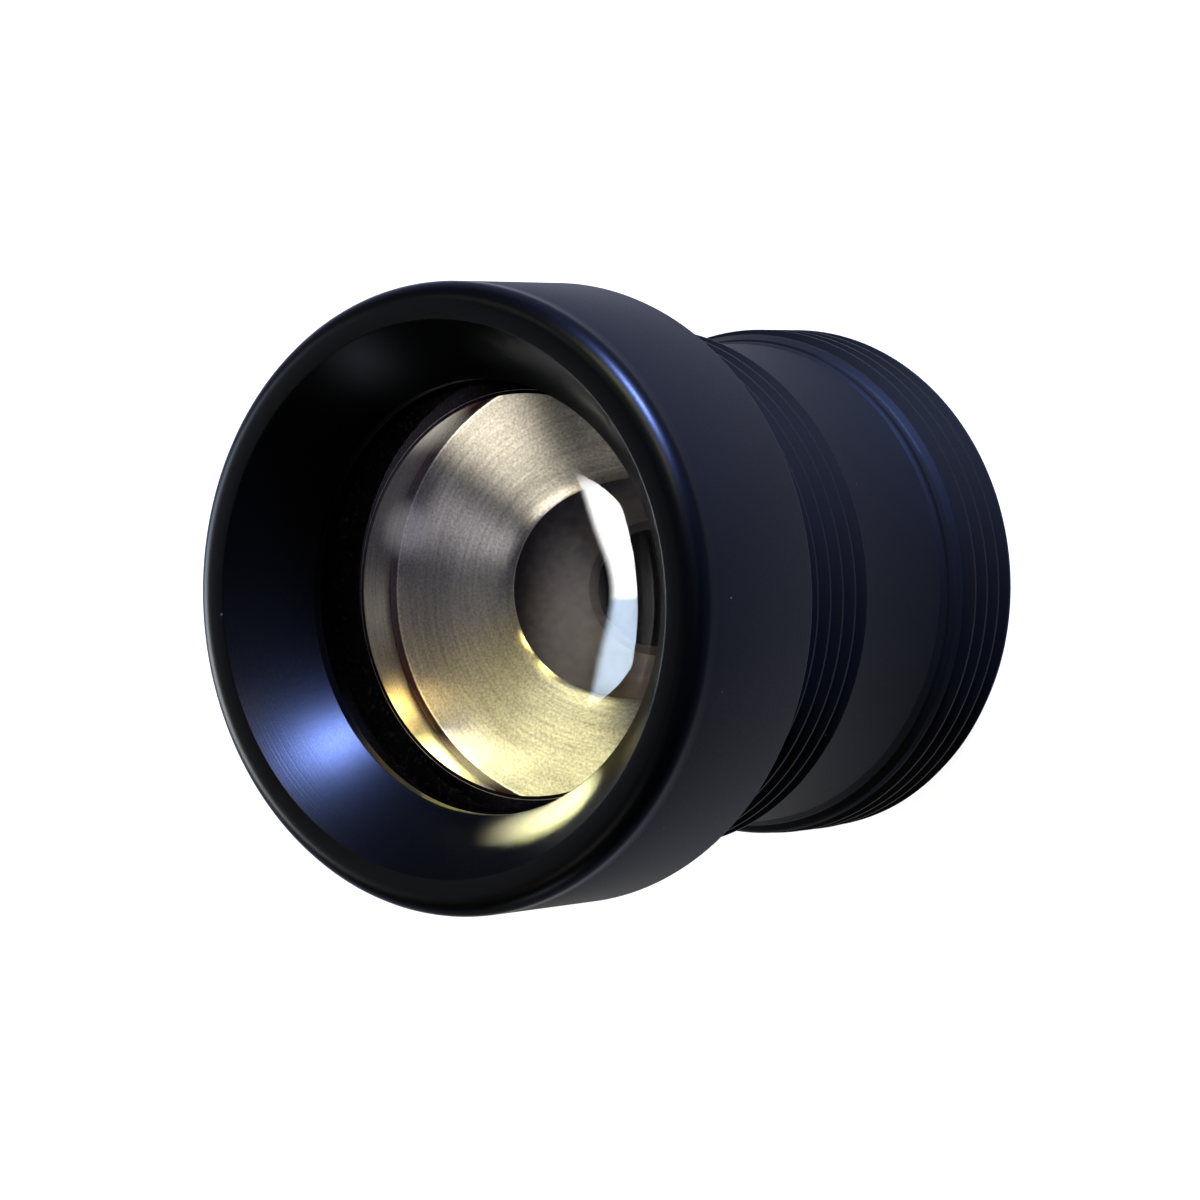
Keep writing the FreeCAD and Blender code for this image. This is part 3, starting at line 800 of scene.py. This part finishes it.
def ground_element(name, node, front, rear, rear_finish=coated_glass, clear_rings=GLASS_RINGS):
    """Glass element with polished faces front and rear, joined by an inked ground edge.

    clear_rings is the number of rings of the rear face that the ink leaves clear.
    """
    outline = front + list(reversed(rear))
    spans = len(outline)
    finish = []
    for span in range(spans):
        if span < GLASS_RINGS:
            finish.append(0)
        elif span >= spans - 1 - clear_rings:
            finish.append(1)
        else:
            finish.append(2)
    element = turned(name, outline, [coated_glass, rear_finish, edge_ink], span_finish=finish)
    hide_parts(node)
    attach(element, "root")


# The ink laps over the rim of the rear face, which is left uncoated and mirrors the window
INK_FREE_RINGS = 34
front_face = cap(13.190, 20, 5.0) + [(5.1, 12.4549)]
rear_face = cap(9.800, -30, 5.0) + [(5.1, 10.320)]
ground_element(
    "front_lens_element", "front_element", front_face, rear_face, plain_glass, INK_FREE_RINGS
)


# Front spacer
# Bright turned ring between the front element and the stop funnel; its bore shows through the
# glass as a pale wall.
turned_streaks = shader_group(
    "Turned streaks",
    [
        ("Rings per mm", "NodeSocketFloat", 13.0),
        ("Streaks per turn", "NodeSocketFloat", 2.2),
    ],
    [("Height", "NodeSocketFloat")],
)
group_in = add(turned_streaks, "NodeGroupInput")
group_out = add(turned_streaks, "NodeGroupOutput")
place, across, radius, height = round_place(turned_streaks)
spoke = add(turned_streaks, "ShaderNodeVectorMath", {"operation": "NORMALIZE"}, i0=across)
around = add(
    turned_streaks,
    "ShaderNodeVectorMath",
    {"operation": "SCALE"},
    i0=spoke.outputs[0],
    Scale=group_in.outputs["Streaks per turn"],
)
along = math_node(turned_streaks, "ADD", radius, height)
along = math_node(turned_streaks, "MULTIPLY", along, group_in.outputs["Rings per mm"])
along = math_node(turned_streaks, "MULTIPLY", along, 1 / MM)
lift = add(turned_streaks, "ShaderNodeCombineXYZ", Z=along)
spot = add(
    turned_streaks,
    "ShaderNodeVectorMath",
    {"operation": "ADD"},
    i0=around.outputs[0],
    i1=lift.outputs[0],
)
streak = add(turned_streaks, "ShaderNodeTexNoise", Vector=spot.outputs[0], Scale=1.0, Detail=3.0)
turned_streaks.links.new(streak.outputs[0], group_out.inputs["Height"])

METAL_DARK = (0.30, 0.28, 0.26, 1)
METAL_PALE = (0.84, 0.80, 0.73, 1)
GRIT_SHARE = 1.2
DARKER = 0.6
bright_turned, tree, metal = new_material(
    "bright_turned", Metallic=1.0, Anisotropic=0.85, Anisotropic_Rotation=0.25
)
place, across, radius, height = round_place(tree)
cloud = add(tree, "ShaderNodeTexNoise", Vector=place, Scale=900.0, Detail=5.0)
streaks = add(tree, "ShaderNodeGroup", {"node_tree": turned_streaks})
grit = add(tree, "ShaderNodeTexNoise", Vector=place, Scale=22000.0, Detail=1.0)
mixed = math_node(
    tree, "MULTIPLY_ADD", grit.outputs[0], GRIT_SHARE, streaks.outputs["Height"]
)
mixed = math_node(tree, "SUBTRACT", mixed, DARKER, clamp=True)
shade = mix_colour(tree, mixed, METAL_DARK, METAL_PALE)

# Painted shade in the seam at the ring's foot, a painted highlight line inside it, both a little
# ragged
SEAM_TOP = 8.51
PAINTED_SHADE_RADIUS = 4.18
SEAM_PAINTED_SHADE = (0.10, 0.035, 0.010, 1)
PAINTED_HIGHLIGHT_RADIUS = 4.155
PAINTED_HIGHLIGHT_HALF_WIDTH = 0.018
PAINTED_HIGHLIGHT = (0.95, 0.93, 0.88, 1)
PAINTED_HIGHLIGHT_COVER = 0.9
RAGGED = 0.05
low = math_node(tree, "LESS_THAN", height, SEAM_TOP * MM)
ragged = math_node(tree, "MULTIPLY_ADD", grit.outputs[0], RAGGED * MM, -RAGGED / 2 * MM)
ragged = math_node(tree, "ADD", radius, ragged)
past_seam = math_node(tree, "GREATER_THAN", ragged, PAINTED_SHADE_RADIUS * MM)
painted_shade_mask = math_node(tree, "MULTIPLY", past_seam, low)
# Painted highlight: a thin bright line on the rim of the dish, just inside the seam
highlight_line_mask = math_node(tree, "COMPARE", ragged, PAINTED_HIGHLIGHT_RADIUS * MM, PAINTED_HIGHLIGHT_HALF_WIDTH * MM)
highlight_line_mask = math_node(tree, "MULTIPLY", highlight_line_mask, PAINTED_HIGHLIGHT_COVER)
with_painted_highlight = mix_colour(tree, highlight_line_mask, shade, PAINTED_HIGHLIGHT)
# Painted shade: the seam between ring and dish is coloured dark where shade falls
with_painted_shade = mix_colour(tree, painted_shade_mask, with_painted_highlight, SEAM_PAINTED_SHADE)
tree.links.new(with_painted_shade, metal.inputs["Base Color"])
rough = add(tree, "ShaderNodeMapRange", Value=cloud.outputs[0], To_Min=0.26, To_Max=0.36)
tree.links.new(rough.outputs[0], metal.inputs["Roughness"])
grain = add(tree, "ShaderNodeTangent", {"direction_type": "RADIAL", "axis": "Z"})
tree.links.new(grain.outputs[0], metal.inputs["Tangent"])
relief = math_node(tree, "MULTIPLY_ADD", grit.outputs[0], 0.5, streaks.outputs["Height"])
bump = add(tree, "ShaderNodeBump", Strength=0.6, Distance=0.005 * MM, Height=relief)
tree.links.new(bump.outputs[0], metal.inputs["Normal"])

front_spacer = turned(
    "front_spacer_ring",
    [(4.33, 10.115), (5.0, 10.115), (5.1, 10.015), (5.1, 8.451), (4.38, 8.451), (4.33, 8.501)],
    [bright_turned],
)
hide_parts("front_spacer")
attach(front_spacer, "root")


# Stop funnel
# Bright plate with a shallow turned dish in front, whose fine rings show through the glass, and
# a relieved hole in the middle.
stop_funnel = turned(
    "stop_funnel_plate",
    [
        (5.1, 8.451),
        (5.1, 7.001),
        (3.5, 7.001),
        (1.9, 7.921),
        (1.9, 7.941),
        (1.95, 7.985),
        (2.08, 8.030),
        (2.30, 8.080),
        (4.18, 8.451),
        (4.24, 8.371),
        (4.30, 8.451),
    ],
    [bright_turned],
)
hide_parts("stop_funnel")
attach(stop_funnel, "root")


# Aperture disc
# Thin brass disc behind the funnel; its hole sets the width of the light path.
def brass(name, dark, pale):
    """Matt brass with a mottled coat between two colours."""
    material, tree, matt = new_material(name, Roughness=0.6, Specular_IOR_Level=0.3)
    place = add(tree, "ShaderNodeTexCoord").outputs["Object"]
    grit = add(tree, "ShaderNodeTexNoise", Vector=place, Scale=6000.0, Detail=3.0)
    mottled = mix_colour(tree, grit.outputs[0], dark, pale)
    tree.links.new(mottled, matt.inputs["Base Color"])
    bump = add(tree, "ShaderNodeBump", Strength=0.3, Distance=0.004 * MM, Height=grit.outputs[0])
    tree.links.new(bump.outputs[0], matt.inputs["Normal"])
    return material


# Painted light: the disc's brass is far paler than the blackened brass, standing in for light in
# the hole
brass_painted_lighter = brass("brass_painted_lighter", (0.08, 0.070, 0.060, 1), (0.26, 0.23, 0.20, 1))
blackened_brass = brass("blackened_brass", (0.012, 0.010, 0.008, 1), (0.030, 0.024, 0.018, 1))
aperture = turned(
    "aperture_stop_disc",
    [(5.1, 7.001), (5.1, 6.901), (1.5, 6.901), (1.5, 7.001)],
    [brass_painted_lighter],
)
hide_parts("aperture_disc")
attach(aperture, "root")


# Second element
# Thin glass lens hollow on both faces, with a flat ground seat round each hollow. It is loaded
# from the rear, and its front seat rests against the barrel's web.
front_face = cap(5.909, -12, 3.4) + [(4.4, 6.401), (4.5, 6.301)]
rear_face = cap(5.109, 14, 3.4) + [(4.4, 4.690), (4.5, 4.790)]
ground_element("second_lens_element", "second_element", front_face, rear_face)


# Second spacer
# Thin ring of blackened brass, turned to its thickness. It keeps the second element off the
# cemented pair.
second_spacer = turned(
    "second_spacer_ring",
    [(3.5, 4.690), (4.5, 4.690), (4.5, 4.190), (3.5, 4.190)],
    [blackened_brass],
)
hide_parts("second_spacer")
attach(second_spacer, "root")


# Cemented pair
# A flint and a crown glass lens ground to the same curve and cemented into one, which brings the
# colours to one focus.
front_face = cap(4.436, 25, 4.4) + [(4.5, 3.945)]
rear_face = cap(3.736, 11, 4.5)
ground_element("flint_lens_element", "flint_element", front_face, rear_face)
front_face = cap(3.736, 11, 4.5)
rear_face = cap(1.736, -14, 4.4) + [(4.5, 2.545)]
ground_element("crown_lens_element", "crown_element", front_face, rear_face)


# Rear spacer
# Ring of blackened brass, turned to its thickness. It sits between the cemented pair and the
# rear element.
rear_spacer = turned(
    "rear_spacer_ring",
    [(3.9, 2.290), (4.4, 2.290), (4.5, 2.190), (4.5, 1.550), (3.9, 1.550)],
    [blackened_brass],
)
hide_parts("rear_spacer")
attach(rear_spacer, "root")


# Rear element
# Plano-convex glass lens, its round face towards the sensor. The retaining ring clamps it
# against the rear spacer.
front_face = [(4.5 * ring / GLASS_RINGS, 1.550) for ring in range(GLASS_RINGS + 1)]
rear_face = cap(0.550, -15, 4.4) + [(4.5, 1.310)]
ground_element("rear_lens_element", "rear_element", front_face, rear_face)


# Rear retaining ring
# Thin black ring screwed into the rear bore against the last element, with two slots for a
# spanner.
RING_OUTLINE = [(3.6, 0.989), (4.6, 0.989), (4.7, 0.889), (4.7, 0.289), (4.1, 0.289), (3.6, 0.759)]
SLOT_WIDTH = 0.8
SLOT_TOP = 0.639
SLOT_REACH = 6
rear_ring = turned(
    "rear_ring",
    rounded(RING_OUTLINE, {0: (0.04, 2), 3: (0.05, 3), 4: (0.04, 2), 5: (0.04, 2)}),
    [black_anodised],
)
slot_work = bmesh.new()
bmesh.ops.create_cube(slot_work, size=2 * MM)
bmesh.ops.scale(slot_work, vec=(SLOT_REACH, SLOT_WIDTH / 2, SLOT_TOP), verts=slot_work.verts)
slot_mesh = bpy.data.meshes.new("spanner_slots")
slot_work.to_mesh(slot_mesh)
slot_work.free()
cutter = bpy.data.objects.new("spanner_slots", slot_mesh)
bpy.context.scene.collection.objects.link(cutter)
slots = rear_ring.modifiers.new("slots", "BOOLEAN")
slots.object = cutter
slots.solver = "EXACT"
settled = rear_ring.evaluated_get(bpy.context.evaluated_depsgraph_get())
slotted = bpy.data.meshes.new_from_object(settled)
rear_ring.modifiers.remove(slots)
whole = rear_ring.data
rear_ring.data = slotted
bpy.data.meshes.remove(whole)
slotted.name = rear_ring.name
bpy.data.objects.remove(cutter)
bpy.data.meshes.remove(slot_mesh)
finish_solid(rear_ring)
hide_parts("rear_retaining_ring")
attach(rear_ring, "root")
